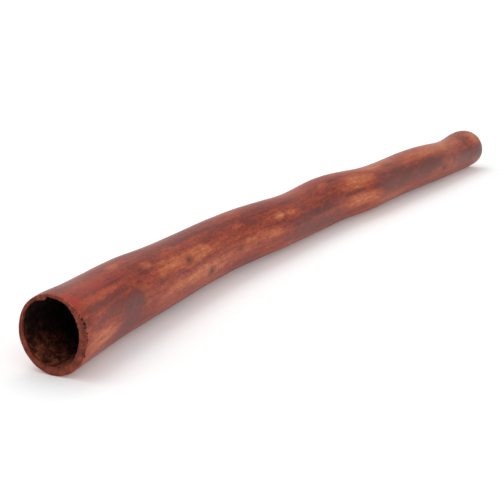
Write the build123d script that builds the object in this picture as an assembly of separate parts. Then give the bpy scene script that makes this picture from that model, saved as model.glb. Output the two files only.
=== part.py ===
from build123d import *

import math
import os

# A didgeridoo: one termite-hollowed hardwood log, lying on the ground on its side.
# Millimetres. The bell faces -X, the mouth end faces +X, +Z is up and the log bows towards +Y.
# The origin is on the ground under the middle of the instrument.

# The log
timber_length = 1196.0
bell_diameter = 86.0
mouth_diameter = 61.5
bow_depth = 40.0
ovality = 0.010
three_lobe = 0.005
section_twist = 150.0

# The hollow
bell_wall = 5.75
throat_bore_diameter = 47.0
mouth_bore_diameter = 38.0
throat_place = 0.31
bell_flare = 2.2
bell_bore_offset = (1.9, 2.2)
bell_bore_fade = 0.12
bore_ovality = 0.020
lining_thickness = 1.2

# The beeswax mouthpiece
wax_bore_diameter = 30.0
wax_seat_depth = 12.0
wax_seat_step = 2.5
wax_lip_height = 4.0
wax_lip_overhang = 3.0

# The log from bell to mouth: share of the length, share of the bow, lift of the underside off the
# ground in mm, and how far the diameter differs from a straight taper between the two ends in mm
log_stations = [
    (0.000, 0.03, 0.0, 0.0),
    (0.035, 0.18, 0.3, -1.3),
    (0.085, 0.39, 0.6, -2.9),
    (0.135, 0.54, 0.9, -2.7),
    (0.190, 0.66, 1.3, -5.1),
    (0.245, 0.79, 1.7, -6.5),
    (0.310, 0.92, 2.0, -6.2),
    (0.380, 0.94, 1.8, -4.9),
    (0.450, 0.85, 1.0, -5.4),
    (0.505, 0.83, 0.4, -6.0),
    (0.565, 0.84, 0.0, -1.1),
    (0.625, 0.70, 0.5, -1.3),
    (0.665, 0.49, 1.2, -4.0),
    (0.710, 0.41, 1.8, -5.1),
    (0.770, 0.34, 2.0, -3.4),
    (0.840, 0.21, 1.5, -1.2),
    (0.885, 0.10, 1.1, -3.1),
    (0.930, 0.04, 0.7, -4.1),
    (0.965, 0.02, 0.1, 0.4),
    (1.000, 0.00, 0.0, 0.0),
]

# Pin knots: share of the length, clock angle from +Y towards +Z in degrees, diameter in mm
pin_knots = [
    (0.219, 148.0, 6.5),
    (0.263, 190.0, 7.0),
    (0.479, 172.0, 5.5),
    (0.540, 169.0, 6.0),
    (0.860, 185.0, 6.5),
]

section_points = 16


def between(low, high, share):
    """The value at a share of the way from low to high."""
    return low + (high - low) * share


def at_station(share, column):
    """One column of the station list, read at any share of the length."""
    for near, far in zip(log_stations, log_stations[1:]):
        if share <= far[0]:
            return between(near[column], far[column], (share - near[0]) / (far[0] - near[0]))
    return log_stations[-1][column]


def log_radius(share, angle):
    """Outer radius of the log at a clock angle in degrees: round, with slow lobes that turn."""
    mean = (between(bell_diameter, mouth_diameter, share) + at_station(share, 3)) / 2
    oval = ovality * math.cos(math.radians(2 * (angle - 109 + section_twist * share)))
    lobes = three_lobe * math.cos(math.radians(3 * (angle - 30 - section_twist * share)))
    return mean * (1 + oval + lobes)


def log_centre(share):
    """Centre of the log at a share of the length, across and up, resting at its own lift."""
    angles = range(180, 360, 5)
    depth = max(-log_radius(share, angle) * math.sin(math.radians(angle)) for angle in angles)
    return bow_depth * at_station(share, 1), depth + at_station(share, 2)


def bore_radius(share, angle):
    """Radius of the hollow: it closes quickly from bell to throat, then slowly to the mouth."""
    if share < throat_place:
        flare = (1 - share / throat_place) ** bell_flare
        bell_bore_diameter = bell_diameter - 2 * bell_wall
        mean = between(throat_bore_diameter, bell_bore_diameter, flare) / 2
    else:
        along = (share - throat_place) / (1 - throat_place)
        mean = between(throat_bore_diameter, mouth_bore_diameter, along) / 2
    return mean * (1 + bore_ovality * math.cos(math.radians(2 * (angle - 97 + section_twist * share))))


def lining_radius(share, angle):
    """Inner radius of the crust that lines the hollow."""
    return bore_radius(share, angle) - lining_thickness


def bore_centre(share):
    """Centre of the hollow: that of the log, except that the bell end has worn off to one side."""
    across, up = log_centre(share)
    fade = max(0.0, 1 - share / bell_bore_fade)
    return across + bell_bore_offset[0] * fade, up + bell_bore_offset[1] * fade


def cross_section(share, centre, radius):
    """A flat face across the log, from a rule for its centre and a rule for its radius."""
    across, up = centre(share)
    points = []
    for step in range(section_points):
        angle = 360.0 * step / section_points
        sideways = across + radius(share, angle) * math.cos(math.radians(angle))
        upwards = up + radius(share, angle) * math.sin(math.radians(angle))
        points.append((share * timber_length, sideways, upwards))
    return Face(Wire([Edge.make_spline(points, periodic=True)]))


def solid_along_log(centre, radius):
    """A smooth solid through the cross sections at every station."""
    return loft([cross_section(station[0], centre, radius) for station in log_stations])


def seat_radius():
    """Radius of the round seat scraped into the mouth end for the wax."""
    return mouth_bore_diameter / 2 + wax_seat_step


def mouth_end_bar(radius):
    """A round bar as deep as the wax seat, from the mouth end inwards."""
    across, up = log_centre(1.0)
    plane = Plane(origin=(timber_length, across, up), x_dir=(0, 1, 0), z_dir=(-1, 0, 0))
    return plane * Cylinder(radius, wax_seat_depth, align=(Align.CENTER, Align.CENTER, Align.MIN))


def knot_bar(share, angle, diameter):
    """The straight core of a branchlet, from the heart of the log out past its surface."""
    across, up = log_centre(share)
    outwards = (0, math.cos(math.radians(angle)), math.sin(math.radians(angle)))
    plane = Plane(origin=(share * timber_length, across, up), x_dir=(1, 0, 0), z_dir=outwards)
    return plane * Cylinder(diameter / 2, bell_diameter, align=(Align.CENTER, Align.CENTER, Align.MIN))


def wax_ring():
    """Beeswax pressed into the seat and rolled out over the mouth end as a rounded lip."""
    across, up = log_centre(1.0)
    bore = wax_bore_diameter / 2
    seat = seat_radius()
    lip = seat + wax_lip_overhang
    inner_end = timber_length - wax_seat_depth
    crest = (timber_length + wax_lip_height, (bore + lip) / 2)
    with BuildSketch(Plane.XY) as half_section:
        with BuildLine():
            Polyline((timber_length, bore), (inner_end, bore), (inner_end, seat), (timber_length, seat))
            Line((timber_length, seat), (timber_length, lip))
            ThreePointArc((timber_length, lip), crest, (timber_length, bore))
        make_face()
    return Pos(0, across, up) * revolve(half_section.sketch, Axis.X, 360)


def build_pieces():
    """Every piece of the instrument by name, with the bell face at X = 0."""
    log = solid_along_log(log_centre, log_radius)
    hollow = solid_along_log(bore_centre, bore_radius)
    air = solid_along_log(bore_centre, lining_radius)
    wall = log - hollow - mouth_end_bar(seat_radius())
    timber = wall
    pieces = {}
    for number, (share, angle, diameter) in enumerate(pin_knots, start=1):
        bar = knot_bar(share, angle, diameter)
        pieces[f"pin_knot_{number}"] = wall & bar
        timber = timber - bar
    pieces["timber_body"] = timber
    pieces["bore_lining"] = hollow - air - mouth_end_bar(mouth_diameter / 2)
    pieces["mouthpiece_wax"] = wax_ring()
    return pieces


def stand_on_origin(pieces):
    """Move the pieces together so that their joint box has the origin at its bottom centre."""
    boxes = [piece.bounding_box() for piece in pieces.values()]
    low = Vector(*(min(tuple(box.min)[axis] for box in boxes) for axis in range(3)))
    high = Vector(*(max(tuple(box.max)[axis] for box in boxes) for axis in range(3)))
    shift = Pos(-(low.X + high.X) / 2, -(low.Y + high.Y) / 2, -low.Z)
    return {name: shift * piece for name, piece in pieces.items()}


os.makedirs("parts", exist_ok=True)
for name, piece in stand_on_origin(build_pieces()).items():
    export_step(piece, f"parts/{name}.step")
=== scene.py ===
import math

import bmesh
import bpy
import numpy as np
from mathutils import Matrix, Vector, noise
from mathutils.bvhtree import BVHTree


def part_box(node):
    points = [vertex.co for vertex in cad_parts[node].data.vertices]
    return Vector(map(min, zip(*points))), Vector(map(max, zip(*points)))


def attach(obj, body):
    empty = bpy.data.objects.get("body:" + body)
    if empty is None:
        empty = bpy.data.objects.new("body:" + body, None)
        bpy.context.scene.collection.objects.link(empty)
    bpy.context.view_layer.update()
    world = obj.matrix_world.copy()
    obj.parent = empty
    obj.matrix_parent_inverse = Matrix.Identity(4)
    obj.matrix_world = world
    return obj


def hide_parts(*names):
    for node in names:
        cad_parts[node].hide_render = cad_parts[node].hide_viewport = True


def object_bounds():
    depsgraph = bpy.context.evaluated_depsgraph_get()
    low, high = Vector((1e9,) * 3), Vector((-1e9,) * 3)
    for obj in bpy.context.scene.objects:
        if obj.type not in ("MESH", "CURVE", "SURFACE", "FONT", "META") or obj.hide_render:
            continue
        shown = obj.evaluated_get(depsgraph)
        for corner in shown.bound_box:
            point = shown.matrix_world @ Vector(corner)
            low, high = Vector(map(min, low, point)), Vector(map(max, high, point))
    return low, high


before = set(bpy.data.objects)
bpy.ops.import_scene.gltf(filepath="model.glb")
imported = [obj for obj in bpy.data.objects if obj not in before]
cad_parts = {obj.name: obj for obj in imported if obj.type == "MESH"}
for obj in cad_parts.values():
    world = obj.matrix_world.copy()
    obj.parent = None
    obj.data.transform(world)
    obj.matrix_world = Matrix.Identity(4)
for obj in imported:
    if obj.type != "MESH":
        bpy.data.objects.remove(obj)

# A varnished, termite-hollowed didgeridoo lying on its side. Metres, +X from the bell to the mouth end.
# A "clock" angle goes round the log from +Y towards +Z. A "share" is the share of the log's length.

cad_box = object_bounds()
MM = 0.001

# The mesh of the log
COLUMNS = 192
STATION_STEP = 5 * MM
MEASURED_RAYS = 64
KEPT_WAVES = 5
SMOOTHING = 2.0
END_MARGIN = 0.2 * MM
BODY_ROW_STEP = 4 * MM
BORE_ROW_STEP = 14 * MM

# The bell end: how far the rim's inner edge stands in from the hollow, by clock angle in degrees and mm
BELL_EDGE = [
    (7, 1.2), (24, 0.2), (45, 0.9), (62, 1.6), (70, 3.4), (78, 4.1), (82, 0.4), (99, 0.9), (115, 0.0),
    (132, 0.9), (155, 1.6), (190, 2.0), (212, 1.4), (232, 0.2), (250, 0.1), (268, 1.8), (278, 1.7),
    (290, 0.2), (312, 1.0), (330, 2.0), (345, 1.9),
]
BELL_EDGE_DEPTH = 5 * MM
BELL_NOTCH = 1.5 * MM
ARRIS = 1.3 * MM
MOUTH_ARRIS = 2.4 * MM
LINING_SETBACK = 3.0 * MM

# How far drawknife flats, sandpaper ripples and saw marks stand off a smooth surface
FLATS_DEPTH = 0.30 * MM
RIPPLES_DEPTH = 0.09 * MM
SAW_MARKS = 0.10 * MM

# Thin gaps that keep touching surfaces apart
SKIN_GAP = 0.05 * MM
KNOT_FOOT_GAP = 0.1 * MM

# Insect pits and chips along the bell's outer arris: clock angle, mm back from the face, width in mm
BELL_PITS = [
    (133, 0.6, 1.5), (142, 0.4, 1.8), (149, 0.8, 3.4), (156, 1.5, 4.2), (161, 0.5, 3.0), (169, 1.0, 2.1),
    (173, 0.5, 1.8), (178, 0.7, 2.2), (203, 0.6, 2.4), (218, 0.4, 1.6), (84, 0.5, 1.2), (39, 0.4, 1.4),
    (-22, 0.6, 1.7), (-56, 0.5, 1.2), (-88, 0.7, 1.6),
]

# Colour patches in the timber: share, clock angle, half length as a share, half width in degrees, strength
TAN_AND_SHEEN_PATCHES = [
    (0.104, 96, 0.014, 8, 0.8), (0.144, 124, 0.010, 8, 0.9), (0.212, 143, 0.062, 14, 1.0),
    (0.050, 131, 0.040, 5, 0.5), (0.030, 190, 0.036, 14, 0.9), (0.255, 185, 0.120, 15, 0.75),
    (0.341, 131, 0.010, 5, 0.5), (0.385, 172, 0.050, 13, 0.65), (0.427, 144, 0.012, 9, 1.0),
    (0.452, 142, 0.011, 8, 0.8), (0.553, 113, 0.013, 8, 0.8), (0.624, 132, 0.046, 26, 0.8),
    (0.632, 182, 0.044, 22, 1.0), (0.729, 95, 0.008, 6, 0.5), (0.840, 116, 0.105, 20, 0.7),
    (0.924, 115, 0.019, 11, 0.9), (0.983, 128, 0.018, 26, 1.0), (0.730, 204, 0.050, 10, 0.4),
    (0.150, -20, 0.050, 22, 0.8), (0.400, 20, 0.060, 18, 0.7), (0.620, -60, 0.050, 24, 0.8),
    # The last tan patch below, long and broad along the upper side of the mouth half, is painted sheen
    (0.820, 30, 0.050, 20, 0.7), (0.300, -80, 0.040, 16, 0.6), (0.780, 96, 0.220, 26, 0.6),
]
DARK_PATCHES = [
    (0.070, 121, 0.040, 4, 0.6), (0.134, 131, 0.011, 10, 0.7), (0.230, 160, 0.080, 4, 0.3),
    (0.486, 166, 0.066, 12, 1.0), (0.505, 172, 0.030, 6, 0.6), (0.535, 160, 0.014, 10, 0.6),
    (0.617, 160, 0.038, 6, 0.5), (0.716, 111, 0.018, 9, 0.8), (0.712, 160, 0.066, 27, 1.3),
    (0.820, 162, 0.044, 24, 1.1), (0.935, 172, 0.042, 26, 1.2), (0.985, 178, 0.020, 28, 1.3),
    (0.456, 112, 0.004, 4, 0.7), (0.250, 30, 0.050, 14, 0.7), (0.560, -10, 0.060, 18, 0.7),
    (0.700, 60, 0.030, 14, 0.6), (0.900, -50, 0.040, 20, 0.7), (0.080, -70, 0.040, 18, 0.7),
]
PLUM_PATCHES = [
    (0.050, 144, 0.046, 7, 0.8), (0.098, 167, 0.020, 19, 2.0), (0.072, 158, 0.040, 9, 0.8),
    (0.090, 198, 0.030, 16, 0.8), (0.482, 146, 0.009, 9, 0.7), (0.500, 198, 0.085, 18, 0.9),
    (0.682, 196, 0.016, 5, 0.6), (0.930, 172, 0.036, 16, 0.5), (0.480, -40, 0.050, 20, 0.7),
    (0.180, 60, 0.040, 12, 0.5),
]
RED_PATCHES = [
    (0.004, 118, 0.012, 18, 1.0), (0.055, 119, 0.055, 5, 0.8), (0.045, 131, 0.045, 5, 0.6),
    (0.060, 108, 0.060, 12, 0.5), (0.550, 95, 0.020, 12, 0.6),
]
PATCHES = {"tan_and_sheen": TAN_AND_SHEEN_PATCHES, "dark": DARK_PATCHES, "plum": PLUM_PATCHES, "red": RED_PATCHES}

# A dark line that rings the mouth end, where the bark was cut back
RING_SHARE = 0.953
RING_WIDTH = 0.004

# How far noise pushes a patch's edge about, as a share of its size
COARSE_RAGGED = 0.30
FINE_RAGGED = 0.22

# The grain bends within so many knot radii of a knot, whose halo is longer than wide
GRAIN_REACH = 7
HALO_STRETCH = 1.8

# A knot narrows by a share from the outside to the hollow, and is longer along the grain than across
KNOT_POINTS = 28
KNOT_TAPER = 0.4
KNOT_LENGTH = 1.15
KNOT_WIDTH = 0.87

# A knot's cap: share of its radius, and height over the log's surface in mm
KNOT_CAP = [(0.06, -0.25), (0.2, -0.12), (0.4, 0.1), (0.6, 0.16), (0.8, 0.12), (0.94, 0.02), (1.0, -0.15)]

# A pit is a lump of rows of points, whose first row is some radians off its pole
PIT_POINTS = 14
PIT_ROWS = 9
PIT_POLE = 0.15

# The wax ring, whose lip is a half round raised to a power below one, which fills it out
WAX_POINTS = 144
WAX_SWELL = 0.75

# Colours, from 0 to 255 as screens show them
MAROON = (84, 26, 16)
DEEP_RED = (108, 31, 18)
RED_BROWN = (142, 49, 24)
ORANGE_BROWN = (166, 71, 34)
TAN = (186, 98, 56)
PALE_TAN = (204, 132, 94)
PLUM = (94, 32, 28)
# A pale pinkish haze over the mouth half: painted sheen
PAINTED_SHEEN = (164, 94, 70)
BRIGHT_RED = (162, 44, 24)
# Open pores in the grain, and painted shade inside the insect pits
PORE_AND_PIT_SHADE = (46, 16, 14)
RING_BROWN = (86, 52, 42)
END_DARK = (54, 20, 14)
END_MIDDLE = (106, 41, 27)
END_LIGHT = (156, 76, 48)
# Painted shade on the hollow's wall, darkest deep in
HOLLOW_SHADE_BROWN = (44, 22, 17)
KNOT_BLACK = (72, 32, 21)
KNOT_BROWN = (104, 48, 31)
KNOT_RED = (146, 74, 48)
# Near-black: painted shade deep in the hollow
HOLLOW_SHADE_BLACK = (11, 6, 5)
DARK_CRUST = (46, 23, 16)
CRUST = (104, 50, 34)
CRUMB = (168, 100, 72)
WAX_DARK = (96, 58, 26)
WAX = (164, 106, 46)
WAX_PALE = (200, 148, 76)
FLOOR_GREY = (246, 246, 246)
FLOOR_WHITE = (252, 252, 252)
WHITE = (255, 255, 255)

SHADER_SOCKETS = {
    "base_color": "Base Color", "roughness": "Roughness", "normal": "Normal", "ior": "IOR",
    "coat": "Coat Weight", "coat_roughness": "Coat Roughness", "subsurface": "Subsurface Weight",
    "subsurface_radius": "Subsurface Radius", "emission": "Emission Color",
    "emission_strength": "Emission Strength",
}

# The camera, in metres and degrees from the CAD box's near, middle and bottom, with a lens in mm
CAMERA_BACK = 1.0776
CAMERA_ASIDE = 0.8246
CAMERA_UP = 0.4920
CAMERA_HEADING = 28.46
CAMERA_DIP = 15.10
CAMERA_LENS = 100.8
SENSOR_WIDTH = 36

# The studio, in metres and watts: a sky that fades from the horizon up, two softboxes and a floor
WORLD_STRENGTH = 0.72
HORIZON_STRENGTH = 1.05
HORIZON_FADE = 0.16
OVERHEAD = {"place": (0.1, 0.7, 1.9), "target": (0, 0, 0), "size": (2.6, 1.2), "power": 15}
FRONT = {"place": (-2.0, -1.9, 1.5), "target": (-0.2, 0, 0.04), "size": (1.2, 1.2), "power": 7}
FLOOR_HALF = 6.0
FLOOR_GLOW = 0.14
FAR_GLOW = 0.60
FAR_GLOW_FROM = 0.5
FAR_GLOW_TO = 4.0


def smooth_step(low, high, value):
    """0 below low, 1 above high, and a soft rise between them."""
    share = np.clip((value - low) / (high - low), 0.0, 1.0)
    return share * share * (3 - 2 * share)


def linear(red, green, blue):
    """A colour given from 0 to 255 as screens show it, as the renderer's linear colour."""
    parts = [part / 255 for part in (red, green, blue)]
    return tuple(p / 12.92 if p <= 0.04045 else ((p + 0.055) / 1.055) ** 2.4 for p in parts) + (1.0,)


def cloud(points, size, seed, octaves=3):
    """Smooth seeded noise from about -1 to 1 at points, with blobs about size across along each axis."""
    shift = Vector((17.3 * seed, 5.1 * seed, 9.7 * seed))
    scaled = np.asarray(points) / np.asarray(size)
    return np.array([noise.fractal(Vector(p) + shift, 1.0, 2.0, octaves) for p in scaled])


# Measuring the frame's log

def surface_of(*nodes):
    """One search tree over the surfaces of these CAD nodes."""
    points, faces = [], []
    for name in nodes:
        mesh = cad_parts[name].data
        start = len(points)
        points += [vertex.co.copy() for vertex in mesh.vertices]
        faces += [[start + corner for corner in face.vertices] for face in mesh.polygons]
    return BVHTree.FromPolygons(points, faces)


def low_waves(rays):
    """The slow waves of a radius round the log, which leaves out the facets."""
    return np.fft.rfft(rays, axis=1)[:, :KEPT_WAVES] / rays.shape[1]


def smooth_along(values):
    """Values smoothed from station to station, with both ends kept where they are."""
    reach = int(4 * SMOOTHING)
    weights = np.exp(-0.5 * (np.arange(-reach, reach + 1) / SMOOTHING) ** 2)
    before = 2 * values[0] - values[reach:0:-1]
    after = 2 * values[-1] - values[-2:-reach - 2:-1]
    padded = np.concatenate([before, values, after])
    return np.stack([np.convolve(column, weights / weights.sum(), "valid") for column in padded.T], axis=1)


def rays_inwards(surface, middle, spokes, far):
    """Radii of a surface round a middle, by rays that start far outside it."""
    return [far - surface.ray_cast(middle + spoke * far, -spoke)[3] for spoke in spokes]


def rays_outwards(surface, middle, spokes):
    """Radii of a surface round a middle, by rays that start there."""
    return [surface.ray_cast(middle, spoke)[3] for spoke in spokes]


class Log:
    """The frame's log as smooth rules: its centre line, and the radii of its outside, hollow and lining."""

    def __init__(self):
        low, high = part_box("timber_body")
        self.bell, self.mouth = low.x, high.x
        self.length = high.x - low.x
        self.lining_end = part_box("bore_lining")[1].x
        count = int(self.length / STATION_STEP)
        self.stations = np.linspace(self.bell + END_MARGIN, self.mouth - END_MARGIN, count)
        knots = [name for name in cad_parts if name.startswith("pin_knot")]
        wood = surface_of("timber_body", *knots)
        turns = np.arange(MEASURED_RAYS) * math.tau / MEASURED_RAYS
        spokes = [Vector((0, math.cos(turn), math.sin(turn))) for turn in turns]
        self.measure_sections(wood, surface_of("bore_lining"), spokes, high.y - low.y)
        self.measure_mouth(wood, spokes[1])

    def measure_sections(self, wood, crust, spokes, far):
        """Finds the centre and the three radii at each station, from the bell to the mouth."""
        middle = self.middle_of_bell()
        centres, outer, hollow, lining = [], [], [], []
        for x in self.stations:
            for _ in range(3):
                middle.x = x
                rays = rays_inwards(wood, middle, spokes, far)
                drift = sum((spoke * ray for spoke, ray in zip(spokes, rays)), Vector())
                middle = middle + drift * 2 / MEASURED_RAYS
            centres.append([middle.y, middle.z])
            middle.x = x
            outer.append(rays_inwards(wood, middle, spokes, far))
            middle.x = min(x, self.lining_end - MM)
            hollow.append(rays_outwards(wood, middle, spokes))
            lining.append(rays_outwards(crust, middle, spokes))
        self.centres = smooth_along(np.array(centres))
        self.waves = {
            "outer": smooth_along(low_waves(np.array(outer))),
            "hollow": smooth_along(low_waves(np.array(hollow))),
            "lining": smooth_along(low_waves(np.array(lining))),
        }

    def measure_mouth(self, wood, spoke):
        """Finds the middle and the radii of the wax's seat and bore, which are round."""
        low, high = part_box("mouthpiece_wax")
        self.mouth_middle = (low + high) / 2
        self.mouth_middle.x = (self.lining_end + self.mouth) / 2
        self.seat = wood.ray_cast(self.mouth_middle, spoke)[3]
        self.wax_bore = surface_of("mouthpiece_wax").ray_cast(self.mouth_middle, spoke)[3]

    def middle_of_bell(self):
        """A point near the log's centre at the bell face."""
        points = [vertex.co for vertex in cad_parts["timber_body"].data.vertices]
        face = [point for point in points if point.x < self.bell + 0.5 * MM]
        return sum(face, Vector()) / len(face)

    def centre(self, x):
        """Centre of the log, across and up, at places along it."""
        return [np.interp(x, self.stations, self.centres[:, axis]) for axis in range(2)]

    def radius(self, name, x, clock):
        """Radius of one of the measured surfaces at places along and round the log."""
        waves = self.waves[name]
        total = np.zeros(np.broadcast(x, clock).shape)
        for wave in range(KEPT_WAVES):
            real = np.interp(x, self.stations, waves[:, wave].real)
            imaginary = np.interp(x, self.stations, waves[:, wave].imag)
            share = 1 if wave == 0 else 2
            total += share * (real * np.cos(wave * clock) - imaginary * np.sin(wave * clock))
        return total

    def point(self, x, radius, clock):
        """Points in space from places along, out and round the log."""
        across, up = self.centre(x)
        sideways = across + radius * np.cos(clock)
        upwards = up + radius * np.sin(clock)
        return np.stack([x + 0 * clock, sideways, upwards], axis=-1)

    def seat_ring(self, x):
        """A ring of points on the round seat for the wax."""
        across = self.mouth_middle.y + self.seat * np.cos(clocks)
        up = self.mouth_middle.z + self.seat * np.sin(clocks)
        return np.stack([x + 0 * clocks, across, up], axis=-1)


clocks = np.arange(COLUMNS) * math.tau / COLUMNS
log = Log()


def shaved(x, clock):
    """The outside of the log with the low flats and ripples that a drawknife and sandpaper leave."""
    radius = log.radius("outer", x, clock)
    around = 35 * MM
    at = np.stack([x + 0 * clock, around * np.cos(clock), around * np.sin(clock)], axis=-1).reshape(-1, 3)
    flats = cloud(at, (60 * MM, 18 * MM, 18 * MM), 1, 2) * FLATS_DEPTH
    ripples = cloud(at, (16 * MM, 7 * MM, 7 * MM), 2, 2) * RIPPLES_DEPTH
    return radius + (flats + ripples).reshape(radius.shape)


def bell_edge(clock):
    """How far the rim's inner edge stands in from the hollow, round the bell."""
    places = np.radians([place for place, _ in BELL_EDGE])
    depths = np.array([depth for _, depth in BELL_EDGE]) * MM
    rim = np.stack([0 * clock, 40 * MM * np.cos(clock), 40 * MM * np.sin(clock)], axis=-1)
    notches = np.abs(cloud(rim, (2.8 * MM,) * 3, 14, 2)) * BELL_NOTCH
    return np.interp(clock % math.tau, places, depths, period=math.tau) + notches


# Building meshes from rows of points round the log

def ring_mesh(name, rows, closed):
    """A mesh from rows of points, each row a ring. A closed one joins its last row to its first."""
    points = np.concatenate(rows)
    wide, tall = len(rows[0]), len(rows)
    first = np.arange(wide)
    following = (first + 1) % wide
    faces = []
    for row in range(tall if closed else tall - 1):
        this, other = row * wide, (row + 1) % tall * wide
        corners = [this + first, other + first, other + following, this + following]
        faces += np.stack(corners, axis=1).tolist()
    if not closed:
        faces.append(first.tolist())
        faces.append((points.shape[0] - 1 - first).tolist())
    mesh = bpy.data.meshes.new(name)
    mesh.from_pydata(points.tolist(), [], faces)
    mesh.update()
    piece = bpy.data.objects.new(name, mesh)
    bpy.context.scene.collection.objects.link(piece)
    return piece


def face_outwards(piece):
    """Makes every face of a closed mesh look outwards."""
    work = bmesh.new()
    work.from_mesh(piece.data)
    bmesh.ops.recalc_face_normals(work, faces=work.faces)
    work.to_mesh(piece.data)
    work.free()


def smooth_faces(piece, sharp_over=40):
    """Smooth shading, except over edges that turn by more than an angle in degrees."""
    piece.data.shade_smooth()
    piece.data.set_sharp_from_angle(angle=math.radians(sharp_over))


def note(piece, name, values):
    """Keeps one number, or one vector, for each point of a mesh, for its material to read."""
    values = np.asarray(values, np.float32)
    kind, field = ("FLOAT_VECTOR", "vector") if values.ndim == 2 else ("FLOAT", "value")
    attribute = piece.data.attributes.new(name, kind, "POINT")
    attribute.data.foreach_set(field, values.ravel())


def log_ring(x, radius, end=0.0, inside=0.0):
    """A ring's points, how far it is end grain and how far it is inside the hollow, both from 0 to 1."""
    return log.point(x + np.zeros(COLUMNS), radius, clocks), end, inside


def outside_rings():
    """Rings over the bell's worn arris, along the outside and over the mouth end's rounded arris."""
    corner = np.linspace(0, math.pi / 2, 6)
    worn = cloud(log.point(np.full(COLUMNS, log.bell), 40 * MM, clocks), (7 * MM,) * 3, 3, 2)
    arris = ARRIS * (1 + 0.4 * worn)
    rings = []
    for turn in corner:
        x = log.bell + arris * (1 - math.cos(turn))
        edge = shaved(x, clocks) - arris * (1 - math.sin(turn))
        rings.append(log_ring(x, edge, end=1 - turn / corner[-1]))
    near = log.bell + 2 * ARRIS + np.cumsum(np.linspace(0.7, 3.8, 16)) * MM
    far = log.mouth - MOUTH_ARRIS - np.cumsum(np.linspace(0.8, 3.8, 8))[::-1] * MM
    body = np.linspace(near[-1], far[0], int((far[0] - near[-1]) / BODY_ROW_STEP))[1:-1]
    for place in np.concatenate([near, body, far]):
        x = np.full(COLUMNS, place)
        rings.append(log_ring(x, shaved(x, clocks)))
    for turn in corner:
        x = np.full(COLUMNS, log.mouth - MOUTH_ARRIS * (1 - math.sin(turn)))
        edge = shaved(x, clocks) - MOUTH_ARRIS * (1 - math.cos(turn))
        rings.append(log_ring(x, edge, end=turn / corner[-1]))
    return rings


def mouth_end_rings(outer):
    """Rings across the mouth end's face, from the outer ring, and down the round seat for the wax."""
    seat = log.seat_ring(log.mouth)
    face = [(outer + (seat - outer) * share, 1.0, 0.0) for share in np.linspace(0, 1, 8)[1:]]
    wall = [(log.seat_ring(x), 0.5, 1.0) for x in np.linspace(log.mouth, log.lining_end, 6)[1:]]
    return face + wall


def hollow_rings():
    """Rings back down the hollow, from the wax to the bell's ragged inner edge."""
    rings = []
    for place in np.arange(log.lining_end, log.bell + 2 * BELL_EDGE_DEPTH, -BORE_ROW_STEP):
        x = np.full(COLUMNS, place)
        rings.append(log_ring(x, log.radius("hollow", x, clocks), inside=1.0))
    deepest = 1.6
    for depth in np.linspace(deepest, 0, 14):
        x = np.full(COLUMNS, log.bell + depth * BELL_EDGE_DEPTH)
        stand = bell_edge(clocks) * (1 - smooth_step(0.1, 1.0, depth))
        rounded = 0.5 * MM * (1 - min(depth * 6, 1))
        edge = log.radius("hollow", x, clocks) - stand + rounded
        rings.append(log_ring(x, edge, 1 - depth / deepest, float(smooth_step(0.5, 1.4, depth))))
    return rings


def bell_face_rings(inner, outer):
    """Rings over the sawn bell face, between its inner ring and its outer one."""
    saw = cloud(inner * (1, 1, 0.3), (3 * MM,) * 3, 4, 2)
    rings = []
    for share in np.linspace(0, 1, 9)[1:-1]:
        points = inner + (outer - inner) * share
        points[:, 0] += SAW_MARKS * (1 + saw) * math.sin(math.pi * share)
        rings.append((points, 1.0, 0.0))
    return rings


def timber_rings():
    """Rings round the wall: along the outside, over the mouth end, down the hollow and over the rim."""
    rings = outside_rings()
    rings += mouth_end_rings(rings[-1][0])
    rings += hollow_rings()
    rings += bell_face_rings(rings[-1][0], rings[0][0])
    return rings


def patch_strength(patches, share, clock, ragged):
    """How strongly a list of patches colours each point, with ragged soft edges."""
    total = np.zeros(len(share))
    for place, angle, half_length, half_width, strength in patches:
        off = (clock - angle + 180) % 360 - 180
        reach = np.hypot((share - place) / half_length, off / half_width)
        reach = reach + COARSE_RAGGED * ragged[0] + FINE_RAGGED * ragged[1]
        total = np.maximum(total, strength * (1 - smooth_step(0.45, 1.35, reach)))
    return total


def knot_places():
    """Each pin knot's name, place along the log, clock angle and radius, read from the frame."""
    places = []
    for name in sorted(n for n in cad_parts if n.startswith("pin_knot")):
        low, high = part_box(name)
        middle = (low + high) / 2
        across, up = log.centre(middle.x)
        clock = math.atan2(middle.z - up, middle.y - across)
        places.append((name, middle.x, clock, (high.x - low.x) / 2))
    return places


def turned(clock, angle):
    """How far clock angles are past another angle, from minus half a turn to half a turn."""
    return (clock - angle + math.pi) % math.tau - math.pi


def grain_round_knots(grain, clock, places):
    """Moves the fibres' places so that the grain flows round each knot as water does round a post."""
    tangent = np.stack([0 * clock, -np.sin(clock), np.cos(clock)], axis=1)
    radius = np.hypot(grain[:, 1], grain[:, 2])
    for _, x, angle, size in places:
        along = grain[:, 0] - (x - log.bell)
        sideways = turned(clock, angle) * radius
        apart = np.maximum(along ** 2 + sideways ** 2, size ** 2)
        pull = -sideways * size ** 2 / apart * np.exp(-apart / (GRAIN_REACH * size) ** 2)
        grain = grain + tangent * pull[:, None]
    return grain


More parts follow.
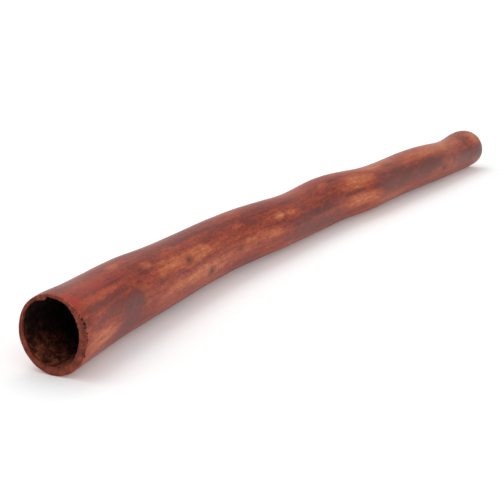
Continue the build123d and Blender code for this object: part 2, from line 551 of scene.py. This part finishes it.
def dress(piece, places):
    """Gives a piece of timber the notes that its material reads: grain, patches and knots' haloes."""
    points = np.empty(len(piece.data.vertices) * 3, np.float32)
    piece.data.vertices.foreach_get("co", points)
    points = points.reshape(-1, 3).astype(float)
    across, up = log.centre(points[:, 0])
    grain = np.stack([points[:, 0] - log.bell, points[:, 1] - across, points[:, 2] - up], axis=1)
    clock = np.arctan2(grain[:, 2], grain[:, 1])
    share = grain[:, 0] / log.length
    coarse = cloud(grain, (26 * MM, 9 * MM, 9 * MM), 5)
    fine = cloud(grain, (14 * MM, 5 * MM, 5 * MM), 6)
    degrees = np.degrees(clock)
    note(piece, "grain", grain_round_knots(grain, clock, places))
    for name, patches in PATCHES.items():
        note(piece, name, patch_strength(patches, share, degrees, (coarse, fine)))
    halo = np.zeros(len(points))
    for _, x, angle, size in places:
        sideways = turned(clock, angle) * np.hypot(grain[:, 1], grain[:, 2])
        apart = np.hypot((points[:, 0] - x) / HALO_STRETCH, sideways) / size
        halo = np.maximum(halo, 1 - smooth_step(1.0, 2.6, apart))
    note(piece, "halo", halo)
    ring = np.abs(share - RING_SHARE - 0.0025 * np.sin(clock * 2) - 0.002 * coarse) / RING_WIDTH
    note(piece, "ring", 1 - smooth_step(0.3, 1.6, ring))


def knot_rings(x, clock, size, grow=0.0, below=0.0):
    """Rings of a knot's tapering plug: over its cap, down through the wall and under its foot."""
    turns = np.arange(KNOT_POINTS) * math.tau / KNOT_POINTS
    uneven = 1 + 0.06 * np.sin(2 * turns + x * 90) + 0.04 * np.sin(3 * turns + x * 50)
    radius = log.radius("outer", np.array([x]), np.array([clock]))[0]
    floor = log.radius("hollow", np.array([x]), np.array([clock]))[0] + KNOT_FOOT_GAP
    rings = []

    def add(width, lift, share):
        """share goes from 0 at the log's outside to 1 at the hollow."""
        reach = (width * size * (1 - KNOT_TAPER * share) + grow) * uneven
        places = x + KNOT_LENGTH * reach * np.cos(turns)
        angles = clock + KNOT_WIDTH * reach * np.sin(turns) / radius
        top = shaved(places, angles) + lift
        rings.append(log.point(places, top + (floor - below - top) * share, angles))

    cap = [(0.05, 1.0), (1.0, 1.0)] if grow else KNOT_CAP
    for width, lift in cap:
        add(width, lift * MM, 0.0)
    for share in (0.15, 0.4, 0.7, 1.0):
        add(1.0, KNOT_CAP[-1][1] * MM, share)
    return rings


def pit_rings(clock, back, width):
    """Rings of a small ragged lump, whose shape is bitten out of the bell's outer arris."""
    x = log.bell + back * MM
    angle = math.radians(clock)
    middle = log.point(np.array([x]), shaved(np.array([x]), np.array([angle])), np.array([angle]))[0]
    turns = np.arange(PIT_POINTS) * math.tau / PIT_POINTS
    rings = []
    for lean in np.linspace(PIT_POLE, math.pi - PIT_POLE, PIT_ROWS):
        flat = np.stack([0 * turns, np.cos(turns), np.sin(turns)], axis=1)
        way = flat * math.sin(lean) + np.array([math.cos(lean), 0, 0])
        lumps = 1 + 0.3 * cloud(middle + way * 2 * MM, (1.5 * MM,) * 3, 7, 1)
        rings.append(middle + way * (width * MM / 2) * lumps[:, None])
    return rings


def cut(piece, tool):
    """Takes a closed tool's shape out of a closed piece, and throws the tool away."""
    for closed in (piece, tool):
        face_outwards(closed)
    modifier = piece.modifiers.new("cut", "BOOLEAN")
    modifier.operation = "DIFFERENCE"
    modifier.solver = "MANIFOLD"
    modifier.object = tool
    bpy.context.view_layer.update()
    shown = bpy.context.evaluated_depsgraph_get()
    mesh = bpy.data.meshes.new_from_object(piece.evaluated_get(shown))
    piece.modifiers.clear()
    piece.data = mesh
    bpy.data.objects.remove(tool)


def join(pieces, name):
    """Several loose meshes as one object."""
    points, faces = [], []
    for piece in pieces:
        start = len(points)
        points += [vertex.co.copy() for vertex in piece.data.vertices]
        faces += [[start + corner for corner in face.vertices] for face in piece.data.polygons]
        bpy.data.objects.remove(piece)
    mesh = bpy.data.meshes.new(name)
    mesh.from_pydata(points, [], faces)
    piece = bpy.data.objects.new(name, mesh)
    bpy.context.scene.collection.objects.link(piece)
    return piece


def build_timber(places):
    """The timber wall, with sockets for the knots and insect pits in the bell's arris."""
    rings = timber_rings()
    piece = ring_mesh("timber_log", [ring[0] for ring in rings], closed=True)
    note(piece, "end", np.repeat([ring[1] for ring in rings], COLUMNS))
    note(piece, "inside", np.repeat([ring[2] for ring in rings], COLUMNS))
    note(piece, "pit", np.zeros(COLUMNS * len(rings)))
    plugs = [knot_rings(x, clock, size, SKIN_GAP, 2 * MM) for _, x, clock, size in places]
    sockets = [ring_mesh("socket", plug, closed=False) for plug in plugs]
    pits = join([ring_mesh("pit", pit_rings(*pit), closed=False) for pit in BELL_PITS], "pits")
    # Marks the pit faces, which the material paints dark as painted shade
    note(pits, "pit", np.ones(len(pits.data.vertices)))
    cut(piece, join(sockets, "sockets"))
    cut(piece, pits)
    dress(piece, places)
    smooth_faces(piece)
    return piece


def build_knot(name, x, clock, size, places):
    """One knot: the hard core of a branchlet, with its rings."""
    rings = knot_rings(x, clock, size)
    piece = ring_mesh("core_of_" + name, rings, closed=False)
    face_outwards(piece)
    dress(piece, places)
    points = np.concatenate(rings)
    radius = log.radius("outer", np.array([x]), np.array([clock]))[0]
    axis = log.point(np.array([x]), radius, np.array([clock]))[0]
    out = np.array([0, math.cos(clock), math.sin(clock)])
    offset = points - axis
    offset -= np.outer(offset @ out, out)
    note(piece, "from_heart", np.linalg.norm(offset, axis=1) / size)
    smooth_faces(piece)
    return piece


def crust_ring(place, start):
    """One ring of the crust's inner surface, and how strongly each of its points shows brown crumbs,
    painted lighter on the underside near the bell and fading to painted shade deeper in.
    """
    x = np.full(COLUMNS, place)
    if place == start:
        x = x + 0.9 * MM * cloud(log.point(x, 38 * MM, clocks), (4 * MM,) * 3, 11, 2)
    at = log.point(x, 30 * MM, clocks)
    lumps = cloud(at, (9 * MM, 6 * MM, 6 * MM), 8, 4)
    grit = np.maximum(cloud(at, (2.6 * MM, 2.2 * MM, 2.2 * MM), 9, 2), 0)
    under = smooth_step(-0.2, 0.9, -np.sin(clocks))
    thick = (0.45 * lumps + (0.3 + 0.5 * under) * grit) * MM
    outside = log.radius("hollow", x, clocks)
    full = smooth_step(-1.0 * MM, 7 * MM, place - start)
    inner = outside + (log.radius("lining", x, clocks) - thick - outside) * full
    # Painted light: the crust's underside near the bell is painted lighter, where light falls in
    painted_light_near_bell = 0.35 * under * (1 - smooth_step(10 * MM, 90 * MM, place - start))
    # Painted shade: the brown crumbs fade out deeper into the hollow, leaving the crust near-black
    shown = 1 - 0.85 * smooth_step(15 * MM, 130 * MM, place - start)
    crumbs_and_painted_shading = shown * np.clip(0.2 + 0.5 * lumps + 0.9 * grit * under + 0.2 * under + painted_light_near_bell, 0, 1)
    return log.point(x, inner, clocks), crumbs_and_painted_shading


def build_lining():
    """The crust in the hollow: what termites left, lumpy and crumbling, thickest along the underside."""
    start = log.bell + LINING_SETBACK
    near = start + np.cumsum(np.linspace(0.8, 1.6, 90)) * MM
    far = np.linspace(near[-1], log.lining_end, 130)
    rings, crumbs_and_painted_shading = [], []
    for place in np.concatenate([[start], near, far[1:]]):
        points, shown = crust_ring(place, start)
        rings.append(points)
        crumbs_and_painted_shading.append(shown)
    for place in np.linspace(log.lining_end, start, 60):
        x = np.full(COLUMNS, place)
        rings.append(log.point(x, log.radius("hollow", x, clocks) - SKIN_GAP, clocks))
        crumbs_and_painted_shading.append(np.zeros(COLUMNS))
    piece = ring_mesh("hollow_crust", rings, closed=True)
    face_outwards(piece)
    note(piece, "crumbs_and_painted_shading", np.concatenate(crumbs_and_painted_shading))
    smooth_faces(piece, 80)
    return piece


def wax_outline(bore, lip, inner_end, crest):
    """The wax ring's half section, as places along from the mouth face and out from its axis."""
    outline = [(inner_end, bore + (log.seat - bore) * share) for share in np.linspace(0, 1, 8)]
    outline += [(x, log.seat - SKIN_GAP) for x in np.linspace(inner_end, SKIN_GAP, 10)[1:]]
    outline += [(SKIN_GAP, log.seat + (lip - 0.8 * MM - log.seat) * share) for share in (0.3, 0.65, 1.0)]
    half = (lip - bore) / 2
    for turn in np.linspace(0.15, math.pi - 0.1, 22):
        swell = math.sin(turn) ** WAX_SWELL
        outline.append((SKIN_GAP + crest * swell, bore + half + half * math.cos(turn)))
    outline += [(x, bore) for x in np.linspace(0, inner_end, 10)[1:-1]]
    return outline


def wax_ring(x, radius, middle, inner_half):
    """A ring of points on the wax, uneven where thumbs shaped it: not where it lies in the seat."""
    turns = np.arange(WAX_POINTS) * math.tau / WAX_POINTS
    place = log.mouth + x
    even = np.stack([place + 0 * turns, radius * np.cos(turns), radius * np.sin(turns)], axis=1)
    thumbed = cloud(even, (9 * MM, 8 * MM, 8 * MM), 12)
    pressed = cloud(even, (3 * MM, 2.5 * MM, 2.5 * MM), 13, 2)
    proud = smooth_step(0.3 * MM, 2.5 * MM, x)
    free = 0.6 if inner_half else 0.0
    swollen = radius + (0.55 * thumbed * proud + 0.22 * pressed * max(proud, free)) * MM
    along = place + proud * (0.35 * thumbed - 0.25) * MM
    return np.stack([along, middle.y + swollen * np.cos(turns), middle.z + swollen * np.sin(turns)], axis=1)


def build_wax():
    """The mouthpiece: a rope of beeswax thumbed into the seat and rolled over the end as a soft lip."""
    low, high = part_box("mouthpiece_wax")
    bore, lip = log.wax_bore, (high.y - low.y) / 2
    outline = wax_outline(bore, lip, low.x - log.mouth, high.x - log.mouth)
    middle = (low + high) / 2
    rings = [wax_ring(x, radius, middle, radius < (bore + lip) / 2) for x, radius in outline]
    piece = ring_mesh("beeswax_mouthpiece", rings, closed=True)
    face_outwards(piece)
    smooth_faces(piece, 60)
    return piece


# Materials

class Paint:
    """A material's node graph, with short calls for the nodes used here."""

    def __init__(self, name):
        self.material = bpy.data.materials.new(name)
        self.material.use_nodes = True
        self.tree = self.material.node_tree
        self.shader = self.tree.nodes["Principled BSDF"]

    def node(self, kind, inputs, **settings):
        made = self.tree.nodes.new("ShaderNode" + kind)
        for name, value in settings.items():
            setattr(made, name, value)
        for place, value in inputs.items():
            self.feed(made.inputs[place], value)
        return made

    def feed(self, socket, value):
        """Links another node's output to a socket, or sets a plain value on it."""
        if isinstance(value, bpy.types.NodeSocket):
            self.tree.links.new(value, socket)
        else:
            socket.default_value = value

    def set(self, **values):
        """Feeds the main shader: base_color for its Base Color, and so on."""
        for name, value in values.items():
            self.feed(self.shader.inputs[SHADER_SOCKETS[name]], value)

    def number(self, name):
        return self.node("Attribute", {}, attribute_name=name).outputs["Fac"]

    def grain_place(self):
        return self.node("Attribute", {}, attribute_name="grain").outputs["Vector"]

    def own_place(self):
        return self.node("TexCoord", {}).outputs["Object"]

    def noise(self, at, stretch, detail, roughness, distortion=0.0):
        """Noise from 0 to 1, with stretch blobs to the metre along each axis."""
        inputs = {
            "Vector": self.vector("MULTIPLY", at, stretch), "Scale": 1.0, "Detail": detail,
            "Roughness": roughness, "Distortion": distortion,
        }
        return self.node("TexNoise", inputs).outputs["Fac"]

    def maths(self, operation, first, second=0.0):
        return self.node("Math", {0: first, 1: second}, operation=operation).outputs[0]

    def vector(self, operation, first, second=(0, 0, 0)):
        return self.node("VectorMath", {0: first, 1: second}, operation=operation).outputs[0]

    def total(self, *terms):
        """A sum of (value, weight) pairs and plain numbers."""
        sum_so_far = 0.0
        for term in terms:
            value = self.maths("MULTIPLY", *term) if isinstance(term, tuple) else term
            sum_so_far = self.maths("ADD", value, sum_so_far)
        return sum_so_far

    def step(self, value, low, high):
        """0 below low and 1 above high."""
        inputs = {"Value": value, "From Min": low, "From Max": high}
        return self.node("MapRange", inputs, interpolation_type="SMOOTHSTEP").outputs["Result"]

    def ramp(self, value, *stops):
        """A colour that runs through (place, colour) stops, which are in order."""
        made = self.node("ValToRGB", {"Fac": value})
        elements = made.color_ramp.elements
        for place, _ in stops[1:-1]:
            elements.new(place)
        for element, (place, colour) in zip(elements, stops):
            element.position = place
            element.color = linear(*colour)
        return made.outputs["Color"]

    def mix(self, share, low, high):
        return self.node("Mix", {0: share, 6: low, 7: high}, data_type="RGBA").outputs[2]

    def lay(self, under, colour, share, strength=1.0):
        """One colour laid over another, as strongly as a share from 0 to 1 times a strength."""
        return self.mix(self.maths("MULTIPLY", share, strength), under, linear(*colour))

    def bump(self, height, distance, strength, normal=None):
        inputs = {"Height": height, "Distance": distance, "Strength": strength}
        if normal is not None:
            inputs["Normal"] = normal
        return self.node("Bump", inputs).outputs["Normal"]


def stained_wood(paint, at, streaks, fibres, mottle):
    """The stain's colour: streaks from maroon to pale tan, with tan, dark, plum and red patches, and
    painted sheen on the mouth half: a pale haze over it and a broad tan patch along its upper side.
    """
    broad = paint.noise(at, (8, 40, 40), 3, 0.5, 0.4)
    speckle = paint.noise(at, (330, 760, 760), 3, 0.6, 0.5)
    tone = paint.total(
        (broad, 0.70), (streaks, 0.75), (fibres, 0.45), (mottle, 0.65), (speckle, 0.65),
        (paint.number("tan_and_sheen"), 0.36), (paint.number("dark"), -0.27), -1.19,
    )
    wood = paint.ramp(
        tone, (0.00, MAROON), (0.22, DEEP_RED), (0.42, RED_BROWN),
        (0.60, ORANGE_BROWN), (0.80, TAN), (1.00, PALE_TAN),
    )
    worn_plum = paint.total((paint.number("plum"), 1.0), (streaks, 0.6), (mottle, 0.6), -0.60)
    wood = paint.lay(wood, PLUM, paint.step(worn_plum, 0.0, 1.0), 0.75)
    along = paint.node("SeparateXYZ", {"Vector": at}).outputs["X"]
    # Painted sheen: a pale haze over the mouth half, where the varnish catches the light
    wood = paint.lay(wood, PAINTED_SHEEN, paint.step(along, 0.62, 0.86), 0.14)
    glow = paint.total((paint.number("red"), 1.0), (streaks, 0.6), -0.3)
    return paint.lay(wood, BRIGHT_RED, paint.step(glow, 0.1, 1.0), 0.8)


def marked_wood(paint, at, wood, pores):
    """Pores and specks over the stain, the knots' haloes and the dark line round the mouth end."""
    wood = paint.lay(wood, PORE_AND_PIT_SHADE, pores, 0.45)
    specks = paint.step(paint.noise(at, (260, 620, 620), 3, 0.6), 0.66, 0.74)
    wood = paint.lay(wood, MAROON, specks, 0.35)
    wood = paint.lay(wood, DEEP_RED, paint.number("halo"), 0.6)
    return paint.lay(wood, RING_BROWN, paint.number("ring"), 0.55)


def end_grain(paint, at):
    """End grain: dark red-brown, cloudy, with rays that run from the heart to the bark."""
    outwards = paint.vector("NORMALIZE", paint.vector("MULTIPLY", at, (0, 1, 1)))
    rays = paint.noise(outwards, (1, 36, 36), 5, 0.65, 0.6)
    grit = paint.noise(at, (500, 900, 900), 4, 0.65)
    clouds = paint.noise(at, (90, 110, 110), 4, 0.6)
    tone = paint.total((rays, 0.6), (grit, 0.6), (clouds, 1.0), -0.58)
    return paint.ramp(tone, (0.25, END_DARK), (0.5, END_MIDDLE), (0.80, END_LIGHT))


def edges_wear_and_painted_light(paint, at, wood, end):
    """Pale arrises at the bell and the mouth end, partly chips and partly painted highlight, with painted
    shade down the hollow and in the insect pits.
    """
    arris = paint.maths("MULTIPLY", end, paint.maths("SUBTRACT", 1.0, end))
    flakes = paint.noise(at, (420, 420, 420), 3, 0.6)
    # Pale arrises: partly chips, partly painted highlight where light catches the edge
    chips_and_painted_highlight = paint.step(paint.total((arris, 1.6), (flakes, 1.0)), 0.86, 1.02)
    wood = paint.lay(wood, PALE_TAN, chips_and_painted_highlight, 0.6)
    # Painted shade: the wall of the hollow darkens deeper in
    wood = paint.lay(wood, HOLLOW_SHADE_BROWN, paint.step(paint.number("inside"), 0.1, 0.9))
    # Painted shade: the faces of the insect pits are painted dark
    return paint.lay(wood, PORE_AND_PIT_SHADE, paint.number("pit"))


def timber_relief(paint, at, streaks, fibres, pores, end):
    """Low waves, fine grooves along the grain with open pores in them, and pitted end grain."""
    normal = paint.bump(paint.noise(at, (70, 140, 140), 2, 0.5), 0.5 * MM, 0.5)
    grooves = paint.total((fibres, 0.5), (streaks, 0.3), (pores, -0.8))
    normal = paint.bump(grooves, 0.10 * MM, 0.6, normal)
    pitted = paint.maths("MULTIPLY", paint.noise(at, (900, 900, 900), 4, 0.6), end)
    return paint.bump(pitted, 0.25 * MM, 0.8, normal)


def timber_paint():
    """Red-stained hardwood under a satin varnish, with dark end grain."""
    paint = Paint("varnished_timber")
    at = paint.grain_place()
    streaks = paint.noise(at, (13, 170, 170), 5, 0.6)
    fibres = paint.noise(at, (50, 1300, 1300), 6, 0.65)
    mottle = paint.noise(at, (95, 210, 210), 4, 0.6, 0.8)
    pores = paint.step(paint.noise(at, (160, 2400, 2400), 2, 0.5), 0.66, 0.78)
    end = paint.number("end")
    wood = stained_wood(paint, at, streaks, fibres, mottle)
    wood = marked_wood(paint, at, wood, pores)
    wood = paint.mix(paint.step(end, 0.45, 0.95), wood, end_grain(paint, at))
    wood = edges_wear_and_painted_light(paint, at, wood, end)
    sheen = paint.total((streaks, 0.16), (mottle, 0.14), (paint.number("plum"), -0.05), (end, 0.22), 0.24)
    normal = timber_relief(paint, at, streaks, fibres, pores, end)
    paint.set(base_color=wood, roughness=sheen, normal=normal, ior=1.29, coat=0.04, coat_roughness=0.18)
    return paint.material


def knot_paint():
    """A knot's core: near-black heart, thin growth rings and a black bark line round it."""
    paint = Paint("knot_wood")
    at = paint.grain_place()
    heart = paint.number("from_heart")
    drift = paint.noise(at, (500, 500, 500), 3, 0.6)
    rings = paint.maths("SINE", paint.total((heart, 26.0), (drift, 6.0)))
    tone = paint.total((rings, 0.13), (drift, 0.5), (heart, 0.25), -0.05)
    wood = paint.ramp(tone, (0.0, KNOT_BLACK), (0.45, KNOT_BROWN), (1.0, KNOT_RED))
    wood = paint.lay(wood, KNOT_BLACK, paint.step(heart, 0.86, 0.98))
    normal = paint.bump(paint.total((rings, 0.3), (drift, 0.8)), 0.12 * MM, 0.8)
    paint.set(base_color=wood, roughness=paint.total((drift, 0.3), 0.22), normal=normal, ior=1.32)
    return paint.material


def lining_paint():
    """The crumbly crust: brown crumbs near the bell, near-black deeper in as painted shade, quite matt."""
    paint = Paint("termite_crust")
    at = paint.own_place()
    lumps = paint.noise(at, (160, 260, 260), 6, 0.7)
    grit = paint.noise(at, (900, 1100, 1100), 4, 0.7)
    tone = paint.total((lumps, 0.7), (grit, 0.6), (paint.number("crumbs_and_painted_shading"), 0.75), -0.62)
    colour = paint.ramp(tone, (0.0, HOLLOW_SHADE_BLACK), (0.35, DARK_CRUST), (0.65, CRUST), (1.0, CRUMB))
    normal = paint.bump(lumps, 1.2 * MM, 0.8)
    normal = paint.bump(grit, 0.5 * MM, 0.9, normal)
    paint.set(base_color=colour, roughness=paint.total((grit, 0.2), 0.72), normal=normal, ior=1.25)
    return paint.material


def wax_paint():
    """Old beeswax: honey-brown, a little see-through, smudged darker where hands and lips meet it."""
    paint = Paint("beeswax")
    at = paint.own_place()
    cloudy = paint.noise(at, (60, 110, 110), 4, 0.55, 0.5)
    smudge = paint.noise(at, (170, 260, 260), 5, 0.65)
    tone = paint.total((cloudy, 0.8), (smudge, 0.5), -0.15)
    colour = paint.ramp(tone, (0.15, WAX_DARK), (0.5, WAX), (0.85, WAX_PALE))
    flecks = paint.step(paint.noise(at, (900, 900, 900), 2, 0.5), 0.68, 0.76)
    colour = paint.lay(colour, WAX_DARK, flecks, 0.5)
    normal = paint.bump(smudge, 0.5 * MM, 0.6)
    normal = paint.bump(paint.noise(at, (1200, 1500, 1500), 3, 0.6), 0.08 * MM, 0.7, normal)
    sheen = paint.total((smudge, 0.25), 0.33)
    blush = (4 * MM, 2 * MM, 0.8 * MM)
    paint.set(base_color=colour, roughness=sheen, normal=normal, ior=1.44)
    paint.set(subsurface=0.25, subsurface_radius=blush)
    return paint.material


def floor_paint():
    """A plain pale studio floor with the faintest unevenness, which glows more the farther off it is."""
    paint = Paint("studio_floor")
    at = paint.own_place()
    colour = paint.ramp(paint.noise(at, (3, 3, 3), 3, 0.5), (0.0, FLOOR_GREY), (1.0, FLOOR_WHITE))
    away = paint.node("VectorMath", {0: at}, operation="LENGTH").outputs["Value"]
    glow = paint.total((paint.step(away, FAR_GLOW_FROM, FAR_GLOW_TO), FAR_GLOW), FLOOR_GLOW)
    paint.set(base_color=colour, roughness=0.9, emission=linear(*WHITE), emission_strength=glow)
    return paint.material


# Putting the scene together

def finish_piece(piece, nodes, material):
    """Gives a piece its material, hangs it under the root body, and hides the CAD nodes that it stands in
    for.
    """
    piece.data.materials.clear()
    piece.data.materials.append(material)
    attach(piece, "root")
    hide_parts(*nodes)


def build_instrument():
    places = knot_places()
    finish_piece(build_timber(places), ["timber_body"], timber_paint())
    finish_piece(build_lining(), ["bore_lining"], lining_paint())
    finish_piece(build_wax(), ["mouthpiece_wax"], wax_paint())
    knot_wood = knot_paint()
    for name, x, clock, size in places:
        finish_piece(build_knot(name, x, clock, size, places), [name], knot_wood)


def build_camera():
    """The camera stands off the bell, to the side that the log bows away from, and looks a little down."""
    low, high = cad_box
    camera = bpy.data.objects.new("camera", bpy.data.cameras.new("camera"))
    camera.data.lens = CAMERA_LENS
    camera.data.sensor_width = SENSOR_WIDTH
    middle = (low[1] + high[1]) / 2
    camera.location = (low[0] - CAMERA_BACK, middle - CAMERA_ASIDE, low[2] + CAMERA_UP)
    heading, dip = math.radians(CAMERA_HEADING), math.radians(CAMERA_DIP)
    level = math.cos(dip)
    look = Vector((level * math.cos(heading), level * math.sin(heading), -math.sin(dip)))
    camera.rotation_euler = look.to_track_quat("-Z", "Y").to_euler()
    bpy.context.scene.collection.objects.link(camera)
    bpy.context.scene.camera = camera


def build_floor():
    """A square floor under the lowest point of the object."""
    ground = cad_box[0][2]
    signs = [(-1, -1), (1, -1), (1, 1), (-1, 1)]
    corners = [(FLOOR_HALF * across, FLOOR_HALF * up, ground) for across, up in signs]
    mesh = bpy.data.meshes.new("studio_floor")
    mesh.from_pydata(corners, [], [(0, 1, 2, 3)])
    floor = bpy.data.objects.new("studio_floor", mesh)
    bpy.context.scene.collection.objects.link(floor)
    floor.data.materials.append(floor_paint())


def softbox(name, place, target, size, power):
    """A rectangular light at place that faces target."""
    light = bpy.data.lights.new(name, "AREA")
    light.shape = "RECTANGLE"
    light.size, light.size_y = size
    light.energy = power
    lamp = bpy.data.objects.new(name, light)
    lamp.location = place
    lamp.rotation_euler = (Vector(target) - Vector(place)).to_track_quat("-Z", "Y").to_euler()
    bpy.context.scene.collection.objects.link(lamp)


def build_light():
    """White surroundings, brightest at the horizon, with one wide softbox overhead and one in front."""
    world = bpy.data.worlds.new("studio")
    world.use_nodes = True
    nodes, links = world.node_tree.nodes, world.node_tree.links
    background = nodes["Background"]
    background.inputs["Color"].default_value = (1, 1, 1, 1)
    height = nodes.new("ShaderNodeSeparateXYZ")
    links.new(nodes.new("ShaderNodeTexCoord").outputs["Generated"], height.inputs["Vector"])
    fade = nodes.new("ShaderNodeMapRange")
    links.new(height.outputs["Z"], fade.inputs["Value"])
    fade.inputs["From Max"].default_value = HORIZON_FADE
    fade.inputs["To Min"].default_value = HORIZON_STRENGTH
    fade.inputs["To Max"].default_value = WORLD_STRENGTH
    links.new(fade.outputs["Result"], background.inputs["Strength"])
    bpy.context.scene.world = world
    softbox("overhead", **OVERHEAD)
    softbox("front", **FRONT)


build_camera()
build_floor()
build_light()
build_instrument()
bpy.context.scene.view_settings.view_transform = "Standard"
